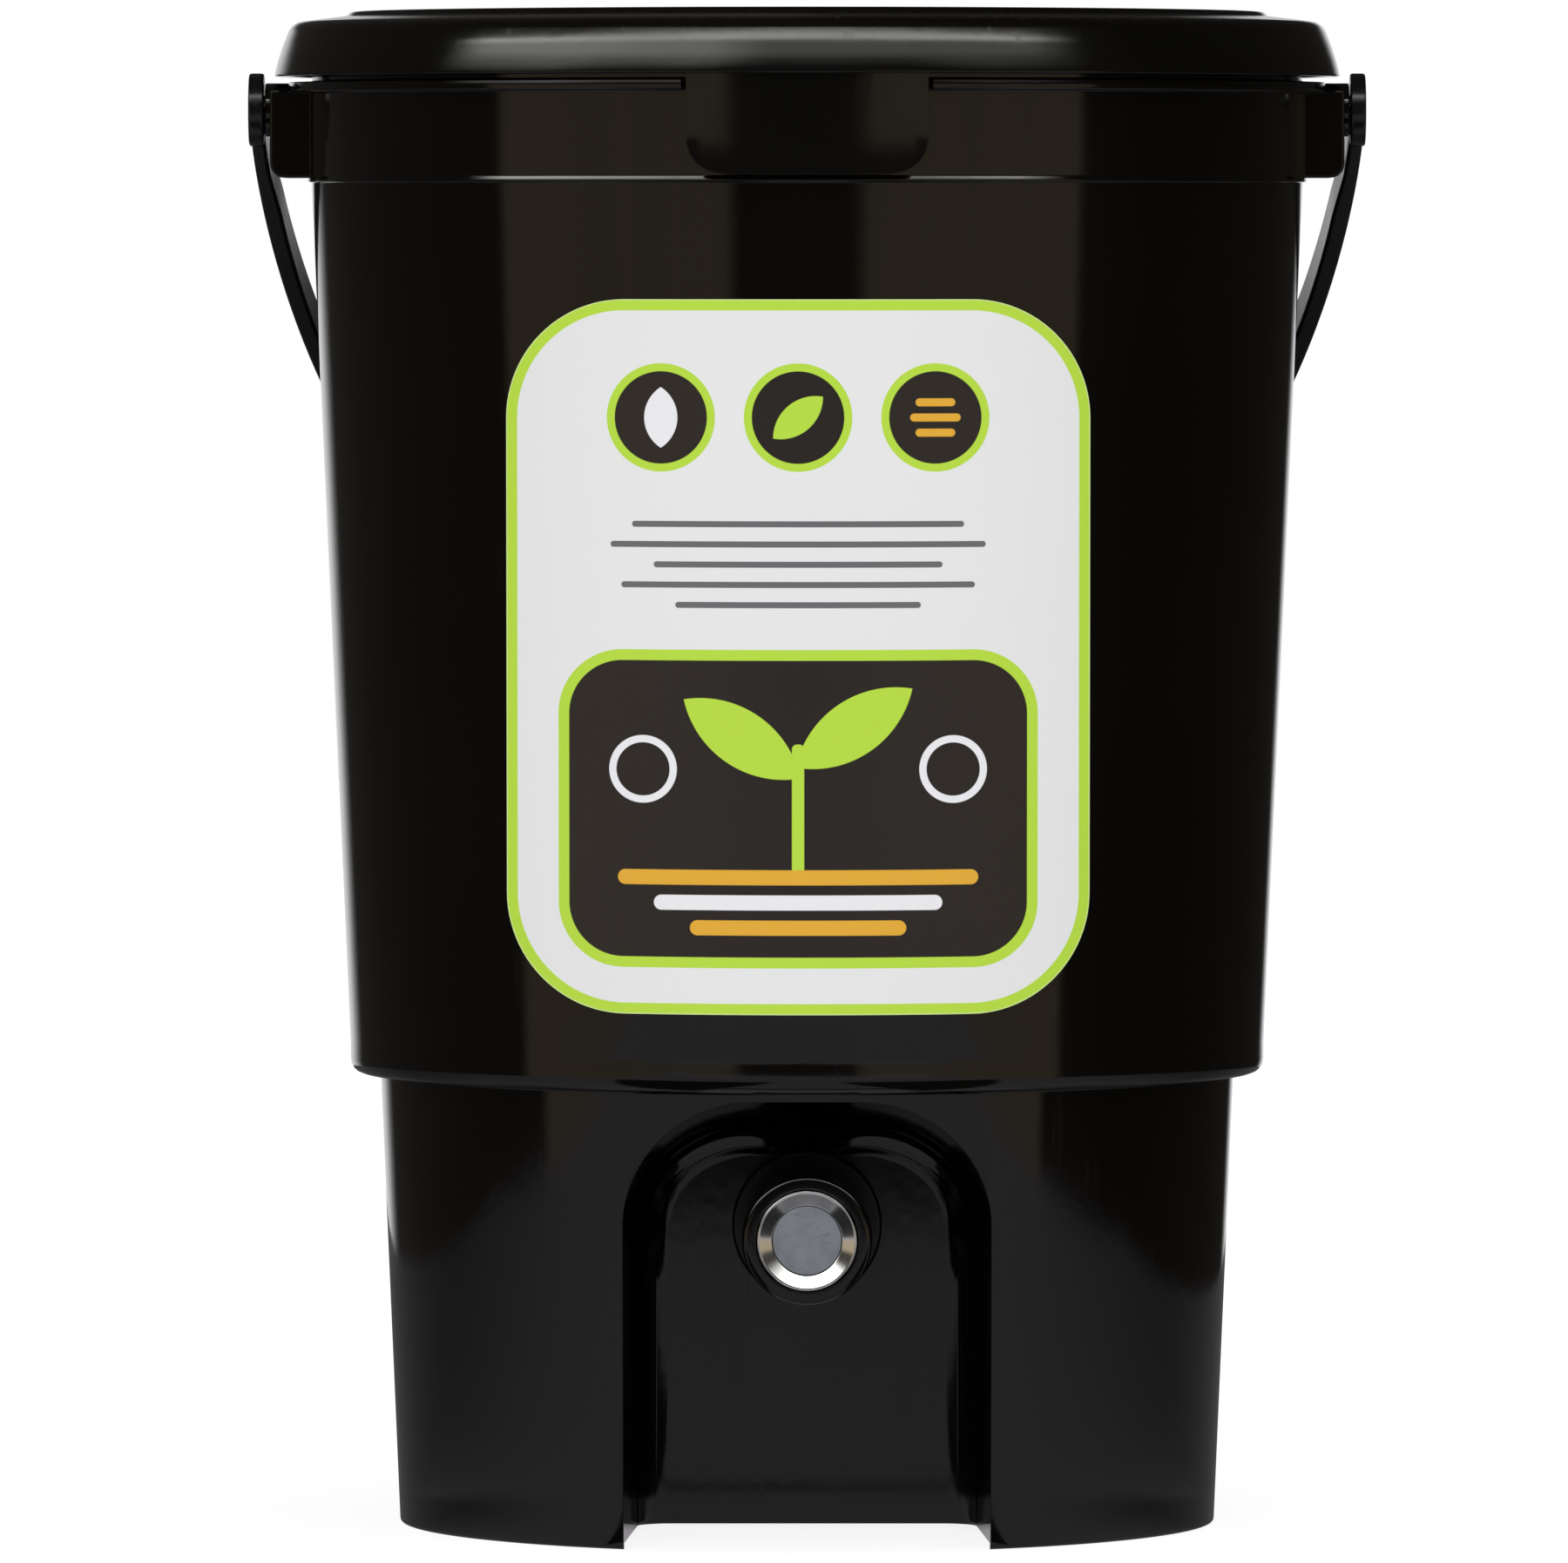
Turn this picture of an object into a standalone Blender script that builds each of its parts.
"""Kitchen fermenting bin with a lift-off lid, a swinging bail, a drain grate and a tap.

Metres, +Z up, the front of the bin faces -Y. The bin stands on z = 0.
"""
import math

import bmesh
import bpy
from mathutils import Euler, Matrix, Vector

# counts and angles
ROUND_STEPS = 80
MEDIUM_STEPS = 32
SMALL_STEPS = 20
RING_SECTION_STEPS = 8
NUT_SIDES = 6
ARC_STEPS = 4
BAIL_STEPS = 22
BEVEL_STEPS = 2
ALCOVE_FILLET_STEPS = 3
ARCH_STEPS = 10
GRATE_RINGS = 4
GRATE_HOLES_STEP = 7
GRATE_HOLE_SIDES = 8
BAIL_REST_DEG = 46.5
SMOOTH_DEG = 35.0
CORNER_DEG = 50.0

# general clearances
seat_gap = 0.0003
running_gap = 0.0003
overrun = 0.004
weld = 0.000002

# bucket heights
rim_height = 0.4227
ledge_drop = 0.0127
ledge_thickness = 0.0030
collar_drop = 0.0411
step_top_height = 0.1370

# bucket radii and walls
body_top_radius = 0.1411
body_draft = 0.0109
step_radius = 0.0086
base_draft = 0.0055
wall = 0.0025
rim_wall = 0.0032
collar_proud = 0.0007
ledge_proud = 0.0060
bead_proud = 0.0016
bead_height = 0.0026
bead_drop = 0.0037
edge_round = 0.0008
foot_round = 0.0010
floor_below_tap = 0.0221
floor_thickness = 0.0028
floor_fillet = 0.0030

# alcove for the tap
alcove_past_body = 0.0098
alcove_back_reach = 0.0350
alcove_mouth_half_width = 0.0569
alcove_corner = 0.0370
alcove_fillet = 0.0090
alcove_draft_drop = 0.0568
alcove_back_share = 0.766
alcove_wall_lift = 0.0034
alcove_below = 0.0500

# ears and bail
pivot_drop = 0.0205
ear_proud = 0.0100
ear_half_depth = 0.0140
ear_foot_rise = 0.0012
ear_round = 0.0032
boss_radius = 0.0054
boss_rise = 0.0031
pin_radius = 0.0040
pin_head_radius = 0.0062
pin_head_thickness = 0.0014
pin_grip = 0.0060
strap_thickness = 0.0044
strap_width = 0.0130
strap_round = 0.0012
bail_reach_share = 1.32159
bail_side_power_share = 0.60
bail_end_power_share = 1.29
hub_radius = 0.0104

# lid
lid_rise = 0.0073
lid_wall = 0.0020
plate_drop = 0.0030
ring_inset = 0.0057
ring_width = 0.0038
ring_slope = 0.0015
ring_rise = 0.0034
shoulder_rise = 0.0004
shoulder_corner = 0.0011
skirt_lean = 0.0041
skirt_proud = 0.0038
skirt_lift = 0.0016
skirt_wall = 0.0030
channel_width = 0.0006
snap_wall = 0.0025
snap_gap = 0.0008
plug_gap = 0.0018
plug_wall = 0.0015
plug_depth = 0.0066

# lifting tab of the lid
tab_half_width = 0.0336
tab_foot_rise = 0.0006
tab_corner = 0.0085
tab_inset = 0.0002
tab_side_gap = 0.0012

# drain grate
grate_edge_cover = 0.0006
grate_thickness = 0.0040
grate_rim_width = 0.0080
grate_hole_radius = 0.0026

# label
label_foot_margin = 0.0137
label_top_margin = 0.0325
label_half_width = 0.0812
label_corner = 0.0330
label_gap = 0.0003
label_thickness = 0.0003

# tap
tap_drop = 0.0418
stem_radius = 0.0085
stem_bore_radius = 0.0060
stem_past_nut = 0.0025
washer_thickness = 0.0018
inner_washer_radius = 0.0165
nut_flats = 0.0300
nut_thickness = 0.0076
flange_radius = 0.0212
flange_thickness = 0.0034
barrel_radius = 0.0125
barrel_end = 0.0520
barrel_bore_radius = 0.0095
core_chamber_start = 0.0222
core_bore_radius = 0.0050
core_bore_end = 0.0445
core_port_radius = 0.0042
spout_reach = 0.0198
spout_radius = 0.0078
spout_bore_radius = 0.0055
spout_place = 0.0390
ring_groove_depth = 0.0024
ring_groove_width = 0.0028
ring_rear_place = 0.0275
ring_front_place = 0.0487
drive_radius = 0.0052
drive_length = 0.0087
knob_radius = 0.0182
knob_length = 0.0204
knob_recess_radius = 0.0142
knob_recess_depth = 0.0075
knob_round = 0.0012
bezel_wall = 0.0026
bezel_proud = 0.0012
cap_thickness = 0.0024
cap_sunk = 0.0032
screw_head_radius = 0.0034
screw_head_thickness = 0.0016
screw_radius = 0.0014
screw_length = 0.0105


def make_collection(name, hidden=False):
    made = bpy.data.collections.new(name)
    bpy.context.scene.collection.children.link(made)
    made.hide_render = hidden
    return made


def make_material(name, colour, roughness, metallic=0.0):
    made = bpy.data.materials.new(name)
    made.use_nodes = True
    shader = made.node_tree.nodes["Principled BSDF"]
    shader.inputs["Base Color"].default_value = (*colour, 1.0)
    shader.inputs["Roughness"].default_value = roughness
    shader.inputs["Metallic"].default_value = metallic
    made.diffuse_color = (*colour, 1.0)
    return made


def clear_scene():
    for old in list(bpy.data.objects):
        bpy.data.objects.remove(old, do_unlink=True)


clear_scene()
PARTS = make_collection("fermenting_bin")
CUTTERS = make_collection("cutters", hidden=True)


def tidy(mesh):
    """Weld the mesh and turn all its faces outwards."""
    work = bmesh.new()
    work.from_mesh(mesh)
    bmesh.ops.remove_doubles(work, verts=work.verts[:], dist=weld)
    bmesh.ops.dissolve_degenerate(work, edges=work.edges[:], dist=weld)
    bmesh.ops.recalc_face_normals(work, faces=work.faces[:])
    work.to_mesh(mesh)
    work.free()


def settle(obj):
    """Make the result of the modifiers the object's own mesh."""
    graph = bpy.context.evaluated_depsgraph_get()
    graph.update()
    made = bpy.data.meshes.new_from_object(obj.evaluated_get(graph), depsgraph=graph)
    obj.modifiers.clear()
    obj.data = made
    tidy(made)
    return obj


def turned(name, outline, steps=ROUND_STEPS, ring=False):
    """Turn an outline of (radius, height) points about Z, as on a lathe."""
    mesh = bpy.data.meshes.new(name)
    work = bmesh.new()
    points = [work.verts.new((radius, 0, height)) for radius, height in outline]
    for first, second in zip(points, points[1:]):
        work.edges.new((first, second))
    if ring:
        work.edges.new((points[-1], points[0]))
    work.to_mesh(mesh)
    work.free()
    obj = bpy.data.objects.new(name, mesh)
    CUTTERS.objects.link(obj)
    screw = obj.modifiers.new("turn", "SCREW")
    screw.angle = math.tau
    screw.steps = steps
    screw.render_steps = steps
    screw.use_merge_vertices = True
    screw.merge_threshold = weld
    screw.use_normal_calculate = True
    return settle(obj)


def disc(name, radius, low, high, steps=MEDIUM_STEPS):
    """A solid round plate or rod about Z from one height to another."""
    return turned(name, [(0, high), (radius, high), (radius, low), (0, low)], steps)


def sleeve(name, outer, inner, low, high, steps=MEDIUM_STEPS):
    """A ring of rectangular section about Z."""
    return turned(name, [(outer, high), (outer, low), (inner, low), (inner, high)], steps, ring=True)


def slab(name, outline, half_depth):
    """A flat outline in X and Y, as thick as twice the half depth along Z."""
    curve = bpy.data.curves.new(name, "CURVE")
    curve.dimensions = "2D"
    curve.fill_mode = "BOTH"
    curve.extrude = half_depth
    line = curve.splines.new("POLY")
    line.points.add(len(outline) - 1)
    for point, (x, y) in zip(line.points, outline):
        point.co = (x, y, 0, 1)
    line.use_cyclic_u = True
    drawn = bpy.data.objects.new(name, curve)
    CUTTERS.objects.link(drawn)
    graph = bpy.context.evaluated_depsgraph_get()
    graph.update()
    mesh = bpy.data.meshes.new_from_object(drawn.evaluated_get(graph), depsgraph=graph)
    bpy.data.objects.remove(drawn, do_unlink=True)
    tidy(mesh)
    made = bpy.data.objects.new(name, mesh)
    CUTTERS.objects.link(made)
    return made


def box(name, low, high):
    """A plain block between two corners."""
    mesh = bpy.data.meshes.new(name)
    work = bmesh.new()
    bmesh.ops.create_cube(work, size=1)
    size = Vector(high) - Vector(low)
    middle = (Vector(high) + Vector(low)) / 2
    stretch = Matrix.Translation(middle) @ Matrix.Diagonal((*size, 1))
    bmesh.ops.transform(work, matrix=stretch, verts=work.verts)
    work.to_mesh(mesh)
    work.free()
    made = bpy.data.objects.new(name, mesh)
    CUTTERS.objects.link(made)
    return made


def move(obj, turn_deg=(0, 0, 0), shift=(0, 0, 0)):
    """Turn and shift the mesh itself, so that the object stays at the origin."""
    turn = Euler([math.radians(angle) for angle in turn_deg]).to_matrix().to_4x4()
    obj.data.transform(Matrix.Translation(Vector(shift)) @ turn)
    obj.data.update()
    return obj


def join(obj, tool, way):
    """Add, cut or keep the common part of two solids, and drop the tool."""
    step = obj.modifiers.new(way.lower(), "BOOLEAN")
    step.operation = way
    step.solver = "EXACT"
    step.object = tool
    settle(obj)
    bpy.data.objects.remove(tool, do_unlink=True)
    return obj


def round_edges(obj, width, steps=BEVEL_STEPS, angle_deg=CORNER_DEG):
    rounding = obj.modifiers.new("round", "BEVEL")
    rounding.width = width
    rounding.segments = steps
    rounding.limit_method = "ANGLE"
    rounding.angle_limit = math.radians(angle_deg)
    return settle(obj)


def arc(middle, radius, start_deg, end_deg, steps=ARC_STEPS):
    """Points on part of a circle, both ends included."""
    points = []
    for index in range(steps + 1):
        angle = math.radians(start_deg + (end_deg - start_deg) * index / steps)
        points.append((middle[0] + radius * math.cos(angle), middle[1] + radius * math.sin(angle)))
    return points


def keep(obj, material, parent=None):
    """Finish a piece: its material, its shading, its collection and its parent."""
    obj.data.materials.clear()
    obj.data.materials.append(material)
    for polygon in obj.data.polygons:
        polygon.use_smooth = True
        polygon.material_index = 0
    obj.data.set_sharp_from_angle(angle=math.radians(SMOOTH_DEG))
    obj.data.name = obj.name
    CUTTERS.objects.unlink(obj)
    PARTS.objects.link(obj)
    if parent:
        obj.parent = parent
    return obj


def put_origin(obj, place):
    """Give a moving piece an origin at the given place."""
    obj.data.transform(Matrix.Translation(-Vector(place)))
    obj.location = place
    return obj


def make_axis(name, place, turn_deg):
    made = bpy.data.objects.new(name, None)
    made.empty_display_type = "ARROWS"
    made.empty_display_size = hub_radius
    made.location = place
    made.rotation_euler = [math.radians(angle) for angle in turn_deg]
    PARTS.objects.link(made)
    return made


BLACK = (0.012, 0.012, 0.013)
bucket_black = make_material("bucket_black", BLACK, 0.16)
lid_black = make_material("lid_black", (0.013, 0.013, 0.014), 0.18)
bail_black = make_material("bail_black", (0.012, 0.012, 0.014), 0.22)
pin_black = make_material("pin_black", (0.016, 0.016, 0.017), 0.28)
seal_grey = make_material("seal_grey", (0.34, 0.35, 0.36), 0.60)
grate_black = make_material("grate_black", (0.020, 0.020, 0.021), 0.35)
label_white = make_material("label_white", (0.76, 0.77, 0.82), 0.35)
tap_black = make_material("tap_black", (0.014, 0.014, 0.015), 0.25)
nut_black = make_material("nut_black", (0.020, 0.020, 0.021), 0.38)
washer_black = make_material("washer_black", (0.030, 0.030, 0.031), 0.75)
core_white = make_material("core_white", (0.70, 0.70, 0.68), 0.40)
o_ring_black = make_material("o_ring_black", (0.022, 0.022, 0.022), 0.65)
knob_black = make_material("knob_black", (0.010, 0.010, 0.011), 0.14)
bezel_chrome = make_material("bezel_chrome", (0.82, 0.83, 0.85), 0.08, 1.0)
cap_grey = make_material("cap_grey", (0.20, 0.21, 0.23), 0.35)
screw_steel = make_material("screw_steel", (0.55, 0.55, 0.56), 0.30, 1.0)


# sizes that follow from the named ones
ledge_top_height = rim_height - ledge_drop
ledge_foot_height = ledge_top_height - ledge_thickness
collar_foot_height = rim_height - collar_drop
body_foot_radius = body_top_radius - body_draft
base_top_radius = body_foot_radius - step_radius
base_foot_radius = base_top_radius - base_draft
step_inner_radius = step_radius - wall
step_foot_height = step_top_height - step_radius
seat_height = step_top_height - step_inner_radius
collar_radius = body_top_radius + collar_proud
ledge_radius = collar_radius + ledge_proud
rim_radius = collar_radius - edge_round
rim_inner_radius = rim_radius - rim_wall
bead_top_height = rim_height - bead_drop
tap_height = step_foot_height - tap_drop
floor_height = tap_height - floor_below_tap
floor_under_height = floor_height - floor_thickness


def base_radius(height):
    return base_foot_radius + (base_top_radius - base_foot_radius) * height / step_foot_height


def body_radius(height):
    rise = (height - step_top_height) / (collar_foot_height - step_top_height)
    return body_foot_radius + (body_top_radius - body_foot_radius) * rise


# bucket, turned in one go: floor, inside wall, rim, outside wall, foot, hollow under the floor
step_centre = (base_top_radius, step_top_height)
bucket_outline = [
    (0, floor_height),
    (base_radius(floor_height) - wall - floor_fillet, floor_height),
    (base_radius(floor_height + floor_fillet) - wall, floor_height + floor_fillet),
    (base_top_radius - wall, seat_height),
]
bucket_outline += arc(step_centre, step_inner_radius, -90, 0)
bucket_outline += [
    (body_top_radius - wall, collar_foot_height),
    (rim_inner_radius, rim_height - edge_round),
    (rim_inner_radius + edge_round, rim_height),
    (rim_radius - edge_round, rim_height),
    (rim_radius, rim_height - edge_round),
    (rim_radius, bead_top_height),
    (rim_radius + bead_proud, bead_top_height - edge_round),
    (rim_radius + bead_proud, bead_top_height - bead_height + edge_round),
    (rim_radius, bead_top_height - bead_height),
    (rim_radius, ledge_top_height),
    (ledge_radius - edge_round, ledge_top_height),
    (ledge_radius, ledge_top_height - edge_round),
    (ledge_radius, ledge_foot_height + edge_round),
    (ledge_radius - edge_round, ledge_foot_height),
    (collar_radius, ledge_foot_height),
    (collar_radius, collar_foot_height + edge_round),
    (body_top_radius, collar_foot_height),
]
bucket_outline += arc(step_centre, step_radius, 0, -90)
bucket_outline += [
    (base_radius(foot_round), foot_round),
    (base_radius(0) - foot_round, 0),
    (base_radius(0) - wall, 0),
    (base_radius(floor_under_height) - wall, floor_under_height),
    (0, floor_under_height),
]
bucket = turned("bucket", bucket_outline)


def arch_prism(name, grow):
    """The alcove's tapered arch along Y, grown outwards by a wall."""
    half_width = alcove_mouth_half_width + grow
    top = step_foot_height + grow
    draft_height = step_foot_height - alcove_draft_drop
    corner = alcove_corner + grow
    outline = [(-half_width, -alcove_below), (half_width, -alcove_below)]
    outline += arc((half_width - corner, top - corner), corner, 0, 90, ARCH_STEPS)
    outline += arc((corner - half_width, top - corner), corner, 90, 180, ARCH_STEPS)
    front = -body_foot_radius - alcove_past_body
    back = grow - alcove_back_reach
    halfway = (front + back) / 2
    prism = slab(name, outline, (back - front) / 2)
    move(prism, (90, 0, 0), (0, halfway, 0))
    for vertex in prism.data.vertices:
        if vertex.co.y > halfway:
            vertex.co.x *= alcove_back_share
            vertex.co.z = draft_height + (vertex.co.z - draft_height) * alcove_back_share
    return round_edges(prism, alcove_fillet + grow, ALCOVE_FILLET_STEPS)


# walls of the alcove, kept inside the bucket's own skin and a little off the table
alcove_walls = arch_prism("alcove_walls", wall)
skin_core = turned("skin_core", [
    (0, step_foot_height),
    (base_top_radius - wall / 2, step_foot_height),
    (base_radius(alcove_wall_lift) - wall / 2, alcove_wall_lift),
    (0, alcove_wall_lift),
])
join(alcove_walls, skin_core, "INTERSECT")
join(bucket, alcove_walls, "UNION")
join(bucket, arch_prism("alcove", 0), "DIFFERENCE")

# hole for the tap's stem
stem_hole = disc("stem_hole", stem_radius + running_gap, -overrun, wall + overrun)
move(stem_hole, (-90, 0, 0), (0, -alcove_back_reach, tap_height))
join(bucket, stem_hole, "DIFFERENCE")

# ears with a round boss and the hole for the bail's pin
pivot_height = rim_height - pivot_drop
ear_reach = body_top_radius + ear_proud
boss_reach = ear_reach + boss_rise
ear_foot_height = collar_foot_height + ear_foot_rise
ear_top_height = ledge_foot_height + edge_round
ear_root = body_top_radius - wall / 2
for side in (-1, 1):
    ear_outline = [
        (side * ear_root, ear_foot_height),
        (side * (ear_reach - ear_round), ear_foot_height),
        (side * ear_reach, ear_foot_height + ear_round),
        (side * ear_reach, ear_top_height - edge_round),
        (side * (ear_reach - edge_round), ear_top_height),
        (side * ear_root, ear_top_height),
    ]
    ear = move(slab("ear", ear_outline, ear_half_depth), (90, 0, 0))
    join(bucket, ear, "UNION")
    boss = disc("boss", boss_radius, -overrun, boss_rise, SMALL_STEPS)
    join(bucket, move(boss, (0, 90 * side, 0), (side * ear_reach, 0, pivot_height)), "UNION")
    pin_hole = disc(
        "pin_hole", pin_radius + running_gap, -pin_grip - running_gap, boss_rise + overrun, SMALL_STEPS,
    )
    move(pin_hole, (0, 90 * side, 0), (side * ear_reach, 0, pivot_height))
    join(bucket, pin_hole, "DIFFERENCE")

# gap in the ledge that the lid's tab passes through
tab_gap = sleeve(
    "tab_gap", ledge_radius + overrun, collar_radius + tab_inset,
    ledge_foot_height - overrun, ledge_top_height + overrun, ROUND_STEPS,
)
gap_half_width = tab_half_width + tab_side_gap
gap_block = box(
    "gap_block",
    (-gap_half_width, -ledge_radius - 2 * overrun, ledge_foot_height - 2 * overrun),
    (gap_half_width, 0, ledge_top_height + 2 * overrun),
)
join(tab_gap, gap_block, "INTERSECT")
join(bucket, tab_gap, "DIFFERENCE")
keep(bucket, bucket_black)

# lid: plate, stacking ring, shoulder, outer skirt, snap skirt, seal channel, plug skirt
lid_height = rim_height + lid_rise
skirt_radius = ledge_radius + skirt_proud
shoulder_radius = skirt_radius - skirt_lean
plate_height = lid_height - plate_drop
ring_foot_height = lid_height - ring_rise
shoulder_height = ring_foot_height - shoulder_rise
skirt_foot_height = ledge_top_height + skirt_lift
snap_radius = rim_radius + bead_proud + snap_gap
snap_foot_height = skirt_foot_height + skirt_lift
plug_radius = rim_inner_radius - plug_gap
ring_outer_radius = plug_radius - ring_inset
tab_foot_height = collar_foot_height + tab_foot_rise
seal_roof_height = ring_foot_height - lid_wall
lid_outline = [
    (0, plate_height),
    (ring_outer_radius - ring_width - ring_slope, plate_height),
    (ring_outer_radius - ring_width, lid_height),
    (ring_outer_radius, lid_height),
    (ring_outer_radius, ring_foot_height),
]
corner_centre = (shoulder_radius - shoulder_corner, shoulder_height - shoulder_corner)
lid_outline += arc(corner_centre, shoulder_corner, 90, 0)
lid_outline += [
    (skirt_radius, skirt_foot_height + edge_round),
    (skirt_radius - edge_round, skirt_foot_height),
    (skirt_radius - skirt_wall, skirt_foot_height),
    (snap_radius + snap_wall + channel_width, shoulder_height - lid_wall - edge_round),
    (snap_radius + snap_wall, shoulder_height - lid_wall - edge_round),
    (snap_radius + snap_wall, snap_foot_height),
    (snap_radius, snap_foot_height),
    (snap_radius, seal_roof_height),
    (plug_radius, seal_roof_height),
    (plug_radius, rim_height - plug_depth),
    (plug_radius - plug_wall, rim_height - plug_depth),
    (plug_radius - plug_wall, plate_height - lid_wall),
    (0, plate_height - lid_wall),
]
lid = turned("lid", lid_outline)
tab = sleeve(
    "tab", snap_radius + snap_wall - tab_inset, snap_radius + tab_inset,
    tab_foot_height - overrun, snap_foot_height + overrun, ROUND_STEPS,
)
tab_outline = arc((tab_corner - tab_half_width, tab_foot_height + tab_corner), tab_corner, 180, 270)
tab_outline += arc((tab_half_width - tab_corner, tab_foot_height + tab_corner), tab_corner, 270, 360)
tab_outline += [
    (tab_half_width, snap_foot_height + 2 * overrun),
    (-tab_half_width, snap_foot_height + 2 * overrun),
]
tab_block = move(slab("tab_block", tab_outline, skirt_radius / 2), (90, 0, 0), (0, -skirt_radius, 0))
join(tab, tab_block, "INTERSECT")
join(lid, tab, "UNION")
keep(put_origin(lid, (0, 0, ledge_top_height)), lid_black)

# seal, held in the lid's channel above the rim
lid_seal = sleeve(
    "lid_seal", snap_radius - seat_gap, plug_radius + seat_gap,
    rim_height + seat_gap, seal_roof_height - seat_gap, ROUND_STEPS,
)
keep(put_origin(lid_seal, (0, 0, ledge_top_height)), seal_grey)

# drain grate on the inner ledge
grate_radius = base_top_radius + grate_edge_cover
grate_foot_height = seat_height + seat_gap
grate_top_height = grate_foot_height + grate_thickness
drain_grate = disc("drain_grate", grate_radius, grate_foot_height, grate_top_height, ROUND_STEPS)
hole_field_radius = grate_radius - grate_rim_width
hole_mesh = bpy.data.meshes.new("grate_holes")
hole_work = bmesh.new()
for ring_index in range(GRATE_RINGS + 1):
    ring_radius = hole_field_radius * ring_index / GRATE_RINGS
    hole_count = max(1, GRATE_HOLES_STEP * ring_index)
    for hole_index in range(hole_count):
        angle = math.tau * (hole_index + (ring_index % 2) / 2) / hole_count
        place = Vector((ring_radius * math.cos(angle), ring_radius * math.sin(angle), grate_foot_height))
        bmesh.ops.create_cone(
            hole_work, cap_ends=True, segments=GRATE_HOLE_SIDES, radius1=grate_hole_radius,
            radius2=grate_hole_radius, depth=2 * (grate_thickness + overrun),
            matrix=Matrix.Translation(place),
        )
hole_work.to_mesh(hole_mesh)
hole_work.free()
grate_holes = bpy.data.objects.new("grate_holes", hole_mesh)
CUTTERS.objects.link(grate_holes)
join(drain_grate, grate_holes, "DIFFERENCE")
keep(put_origin(drain_grate, (0, 0, grate_foot_height)), grate_black)

# label, a thin sheet that follows the wall
label_foot_height = step_top_height + label_foot_margin
label_top_height = collar_foot_height - label_top_margin
sheet_foot = label_foot_height - overrun
sheet_top = label_top_height + overrun
label = turned("label", [
    (body_radius(sheet_top) + label_gap + label_thickness, sheet_top),
    (body_radius(sheet_foot) + label_gap + label_thickness, sheet_foot),
    (body_radius(sheet_foot) + label_gap, sheet_foot),
    (body_radius(sheet_top) + label_gap, sheet_top),
], ring=True)
label_low = label_foot_height + label_corner
label_high = label_top_height - label_corner
label_side = label_half_width - label_corner
label_outline = arc((-label_side, label_low), label_corner, 180, 270, ARCH_STEPS)
label_outline += arc((label_side, label_low), label_corner, 270, 360, ARCH_STEPS)
label_outline += arc((label_side, label_high), label_corner, 0, 90, ARCH_STEPS)
label_outline += arc((-label_side, label_high), label_corner, 90, 180, ARCH_STEPS)
label_block = slab("label_block", label_outline, body_top_radius / 2)
move(label_block, (90, 0, 0), (0, -body_top_radius, 0))
join(label, label_block, "INTERSECT")
keep(label, label_white)

# bail: a flat strap bent to a wide arch, with a hub at each end
hub_inner = boss_reach + running_gap
bail_half_width = hub_inner + strap_thickness
bail_reach = bail_half_width * bail_reach_share
bail_axis = make_axis("bail_axis", (0, 0, pivot_height), (-BAIL_REST_DEG, 0, 0))


def bail_line(half_width, reach):
    """The bail's bend from the right pivot over the grip to the left pivot."""
    points = []
    for index in range(2 * BAIL_STEPS + 1):
        turn = math.pi * index / (2 * BAIL_STEPS)
        across = math.cos(turn)
        share = math.copysign(abs(across) ** bail_side_power_share, across)
        points.append((half_width * share, reach * math.sin(turn) ** bail_end_power_share))
    return points


bail_outline = bail_line(bail_half_width, bail_reach)
bail_outline += reversed(bail_line(hub_inner, bail_reach - strap_thickness))
handle = slab("handle", bail_outline, strap_width / 2)
round_edges(handle, strap_round)
for side in (-1, 1):
    hub = turned("hub", [
        (0, bail_half_width),
        (hub_radius - edge_round, bail_half_width),
        (hub_radius, bail_half_width - edge_round),
        (hub_radius, hub_inner),
        (0, hub_inner),
    ], MEDIUM_STEPS)
    join(handle, move(hub, (0, 90 * side, 0)), "UNION")
    bore = turned("bore", [
        (0, bail_half_width + overrun),
        (pin_head_radius + running_gap, bail_half_width + overrun),
        (pin_head_radius + running_gap, bail_half_width - pin_head_thickness - running_gap),
        (pin_radius + running_gap, bail_half_width - pin_head_thickness - running_gap),
        (pin_radius + running_gap, hub_inner - overrun),
        (0, hub_inner - overrun),
    ], SMALL_STEPS)
    join(handle, move(bore, (0, 90 * side, 0)), "DIFFERENCE")
keep(handle, bail_black, bail_axis)

# pins that carry the bail on the ears
for side, name in ((-1, "pivot_pin_left"), (1, "pivot_pin_right")):
    pin = turned(name, [
        (0, bail_half_width),
        (pin_head_radius - edge_round, bail_half_width),
        (pin_head_radius, bail_half_width - edge_round),
        (pin_head_radius, bail_half_width - pin_head_thickness),
        (pin_radius, bail_half_width - pin_head_thickness),
        (pin_radius, ear_reach - pin_grip),
        (0, ear_reach - pin_grip),
    ], SMALL_STEPS)
    move(pin, (0, 90 * side, 0))
    pin.location = (0, 0, pivot_height)
    keep(pin, pin_black)

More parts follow.
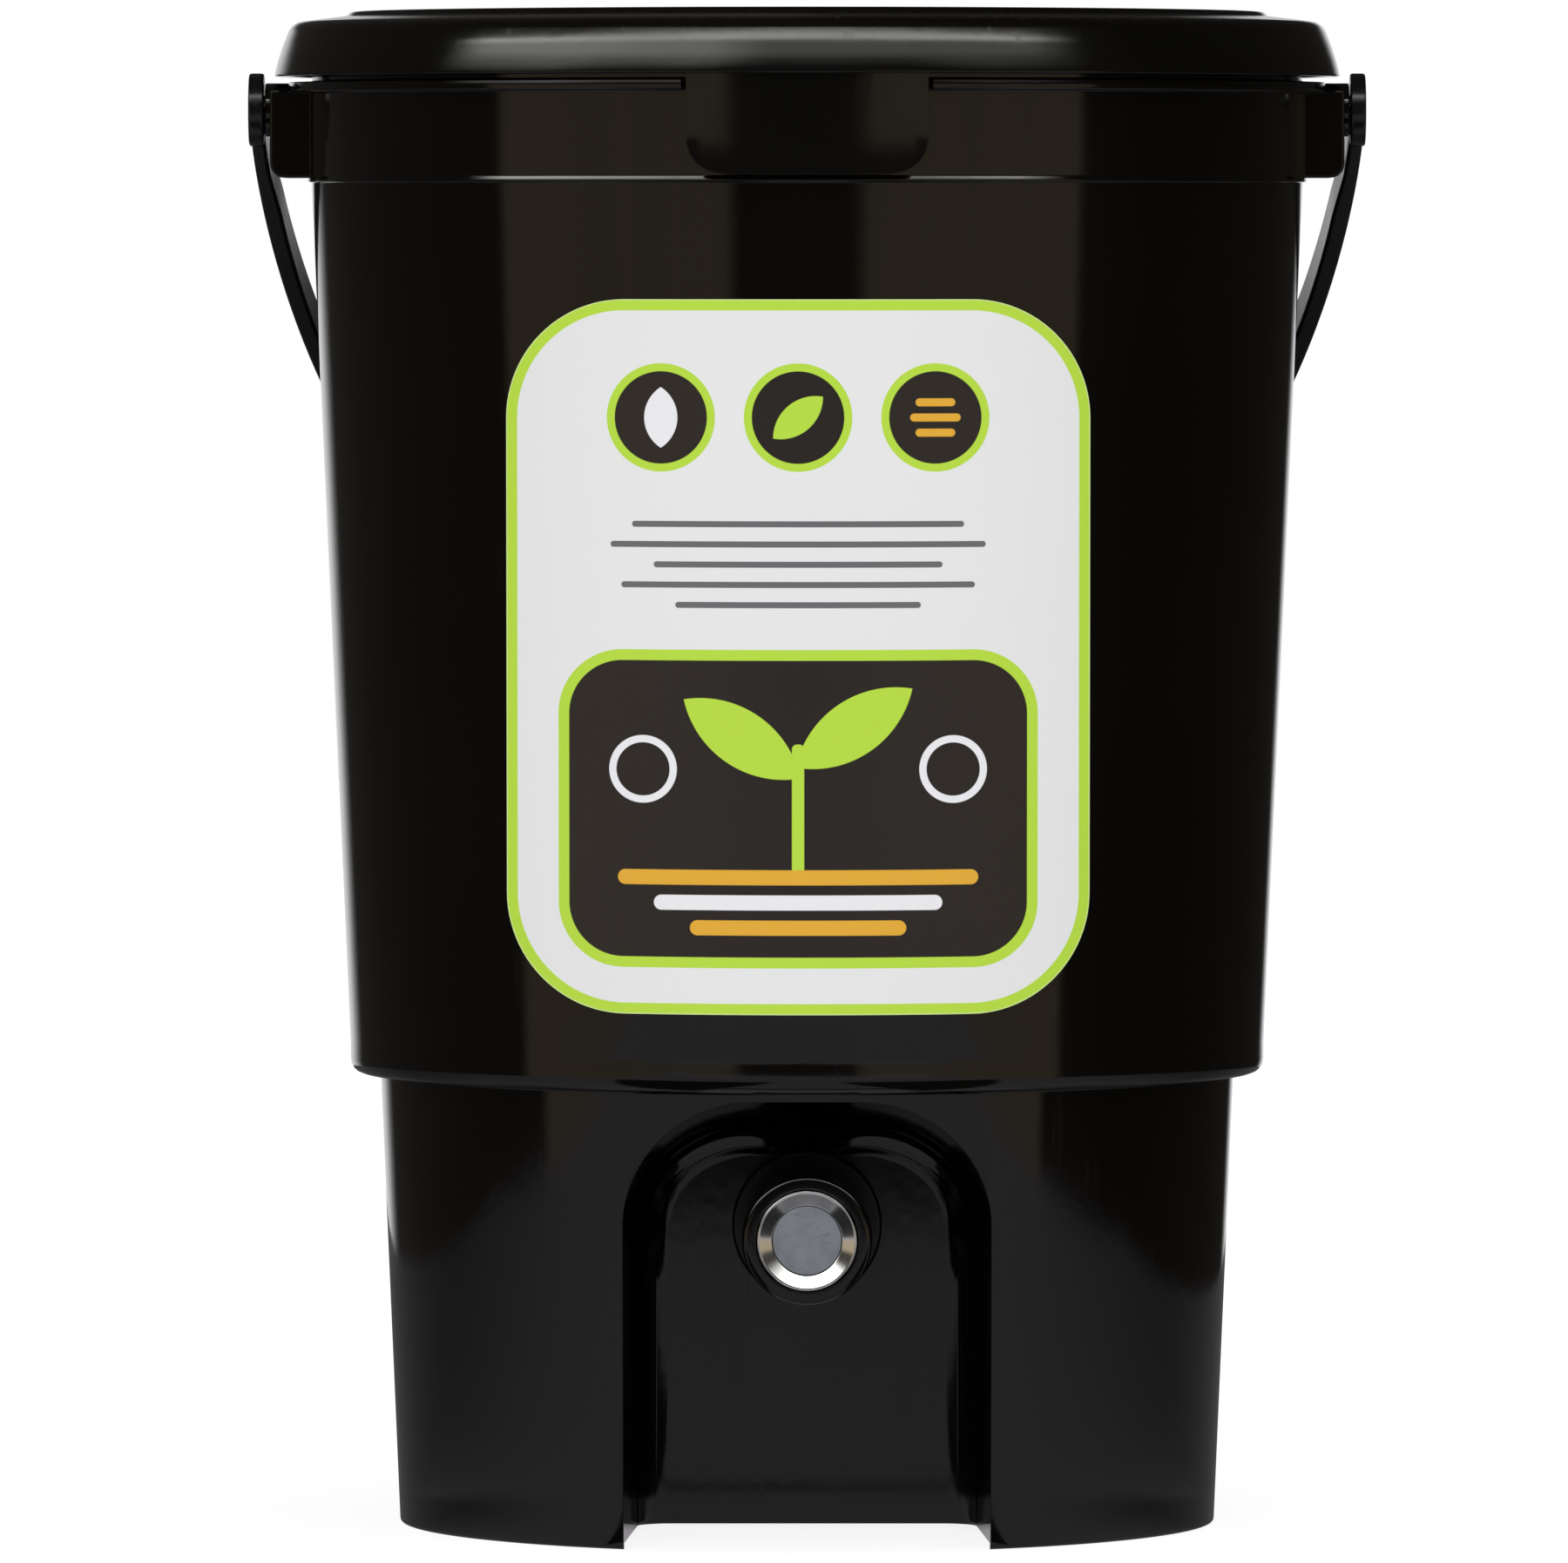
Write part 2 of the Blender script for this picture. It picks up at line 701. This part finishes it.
# tap: everything is drawn along the tap's own axis, from the wall towards the front
tap_axis = make_axis("tap_axis", (0, -alcove_back_reach, tap_height), (90, 0, 0))
flange_foot = 2 * seat_gap + washer_thickness
flange_front = flange_foot + flange_thickness
inner_washer_front = -wall - seat_gap
nut_front = inner_washer_front - washer_thickness - seat_gap
nut_back = nut_front - nut_thickness
stem_back = nut_back - stem_past_nut
core_radius = barrel_bore_radius - running_gap
core_back = core_chamber_start + running_gap
core_front = barrel_end + running_gap
groove_radius = core_radius - ring_groove_depth
drive_front = core_front + drive_length
knob_back = core_front + running_gap
knob_front = knob_back + knob_length
recess_floor = knob_front - knob_recess_depth
bezel_radius = knob_recess_radius - running_gap
bezel_inner_radius = bezel_radius - bezel_wall
bezel_front = knob_front + bezel_proud
cap_front = bezel_front - cap_sunk
screw_head_back = recess_floor + seat_gap
screw_tip = screw_head_back - screw_length

tap_body = turned("tap_body", [
    (0, barrel_end),
    (barrel_radius, barrel_end),
    (barrel_radius, flange_front),
    (flange_radius - edge_round, flange_front),
    (flange_radius, flange_front - edge_round),
    (flange_radius, flange_foot),
    (stem_radius, flange_foot),
    (stem_radius, stem_back),
    (0, stem_back),
], MEDIUM_STEPS)
spout = disc("spout", spout_radius, 0, spout_reach, SMALL_STEPS)
join(tap_body, move(spout, (90, 0, 0), (0, 0, spout_place)), "UNION")
chamber = disc("chamber", barrel_bore_radius, core_chamber_start, barrel_end + overrun)
join(tap_body, chamber, "DIFFERENCE")
stem_bore = disc("stem_bore", stem_bore_radius, stem_back - overrun, core_chamber_start + overrun)
join(tap_body, stem_bore, "DIFFERENCE")
spout_bore = disc("spout_bore", spout_bore_radius, 0, spout_reach + overrun, SMALL_STEPS)
join(tap_body, move(spout_bore, (90, 0, 0), (0, 0, spout_place)), "DIFFERENCE")
keep(tap_body, tap_black, tap_axis)

outer_washer = sleeve(
    "tap_outer_washer", flange_radius - running_gap, stem_radius + running_gap,
    seat_gap, seat_gap + washer_thickness,
)
keep(outer_washer, washer_black, tap_axis)
inner_washer = sleeve(
    "tap_inner_washer", inner_washer_radius, stem_radius + running_gap,
    inner_washer_front - washer_thickness, inner_washer_front,
)
keep(inner_washer, washer_black, tap_axis)

nut_corner_radius = nut_flats / 2 / math.cos(math.pi / NUT_SIDES)
tap_nut = disc("tap_nut", nut_corner_radius, nut_back, nut_front, NUT_SIDES)
nut_bore = disc("nut_bore", stem_radius + running_gap, nut_back - overrun, nut_front + overrun)
join(tap_nut, nut_bore, "DIFFERENCE")
keep(tap_nut, nut_black, tap_axis)

core_outline = [(0, core_front), (core_radius, core_front)]
for place in (ring_front_place, ring_rear_place):
    core_outline += [
        (core_radius, place + ring_groove_width / 2),
        (groove_radius, place + ring_groove_width / 2),
        (groove_radius, place - ring_groove_width / 2),
        (core_radius, place - ring_groove_width / 2),
    ]
core_outline += [(core_radius, core_back), (0, core_back)]
tap_core = turned("tap_core", core_outline, MEDIUM_STEPS)
drive = disc("drive", drive_radius, core_front - overrun, drive_front, NUT_SIDES)
join(tap_core, drive, "UNION")
core_bore = disc("core_bore", core_bore_radius, core_back - overrun, core_bore_end, SMALL_STEPS)
join(tap_core, core_bore, "DIFFERENCE")
core_port = disc("core_port", core_port_radius, 0, core_radius + overrun, SMALL_STEPS)
join(tap_core, move(core_port, (0, 90, 0), (0, 0, spout_place)), "DIFFERENCE")
screw_hole_radius = screw_radius + running_gap
core_screw_hole = disc(
    "core_screw_hole", screw_hole_radius, screw_tip - running_gap, drive_front + overrun, SMALL_STEPS,
)
join(tap_core, core_screw_hole, "DIFFERENCE")
keep(tap_core, core_white, tap_axis)

o_ring_centre = (groove_radius + barrel_bore_radius) / 2
o_ring_section = (barrel_bore_radius - groove_radius) / 2 - seat_gap
for name, place in (("tap_o_ring_rear", ring_rear_place), ("tap_o_ring_front", ring_front_place)):
    section = arc((o_ring_centre, place), o_ring_section, 0, -360, RING_SECTION_STEPS)[:-1]
    keep(turned(name, section, MEDIUM_STEPS, ring=True), o_ring_black, tap_axis)

tap_knob = turned("tap_knob", [
    (0, recess_floor),
    (knob_recess_radius, recess_floor),
    (knob_recess_radius, knob_front - edge_round),
    (knob_recess_radius + edge_round, knob_front),
    (knob_radius - knob_round, knob_front),
    (knob_radius, knob_front - knob_round),
    (knob_radius, knob_back + knob_round),
    (knob_radius - knob_round, knob_back),
    (0, knob_back),
], ROUND_STEPS // 2)
socket = disc(
    "socket", drive_radius + running_gap, knob_back - overrun, drive_front + running_gap, NUT_SIDES,
)
join(tap_knob, socket, "DIFFERENCE")
knob_screw_hole = disc(
    "knob_screw_hole", screw_hole_radius, knob_back, recess_floor + overrun, SMALL_STEPS,
)
join(tap_knob, knob_screw_hole, "DIFFERENCE")
keep(tap_knob, knob_black, tap_axis)

tap_bezel = turned("tap_bezel", [
    (bezel_radius - edge_round, bezel_front),
    (bezel_radius, bezel_front - edge_round),
    (bezel_radius, recess_floor + seat_gap),
    (bezel_inner_radius, recess_floor + seat_gap),
    (bezel_inner_radius, bezel_front - edge_round),
    (bezel_inner_radius + edge_round, bezel_front),
], ROUND_STEPS // 2, ring=True)
keep(tap_bezel, bezel_chrome, tap_axis)
tap_cap = disc("tap_cap", bezel_inner_radius - running_gap, cap_front - cap_thickness, cap_front)
keep(tap_cap, cap_grey, tap_axis)
tap_screw = turned("tap_screw", [
    (0, screw_head_back + screw_head_thickness),
    (screw_head_radius, screw_head_back + screw_head_thickness),
    (screw_head_radius, screw_head_back),
    (screw_radius, screw_head_back),
    (screw_radius, screw_tip),
    (0, screw_tip),
], SMALL_STEPS)
keep(tap_screw, screw_steel, tap_axis)
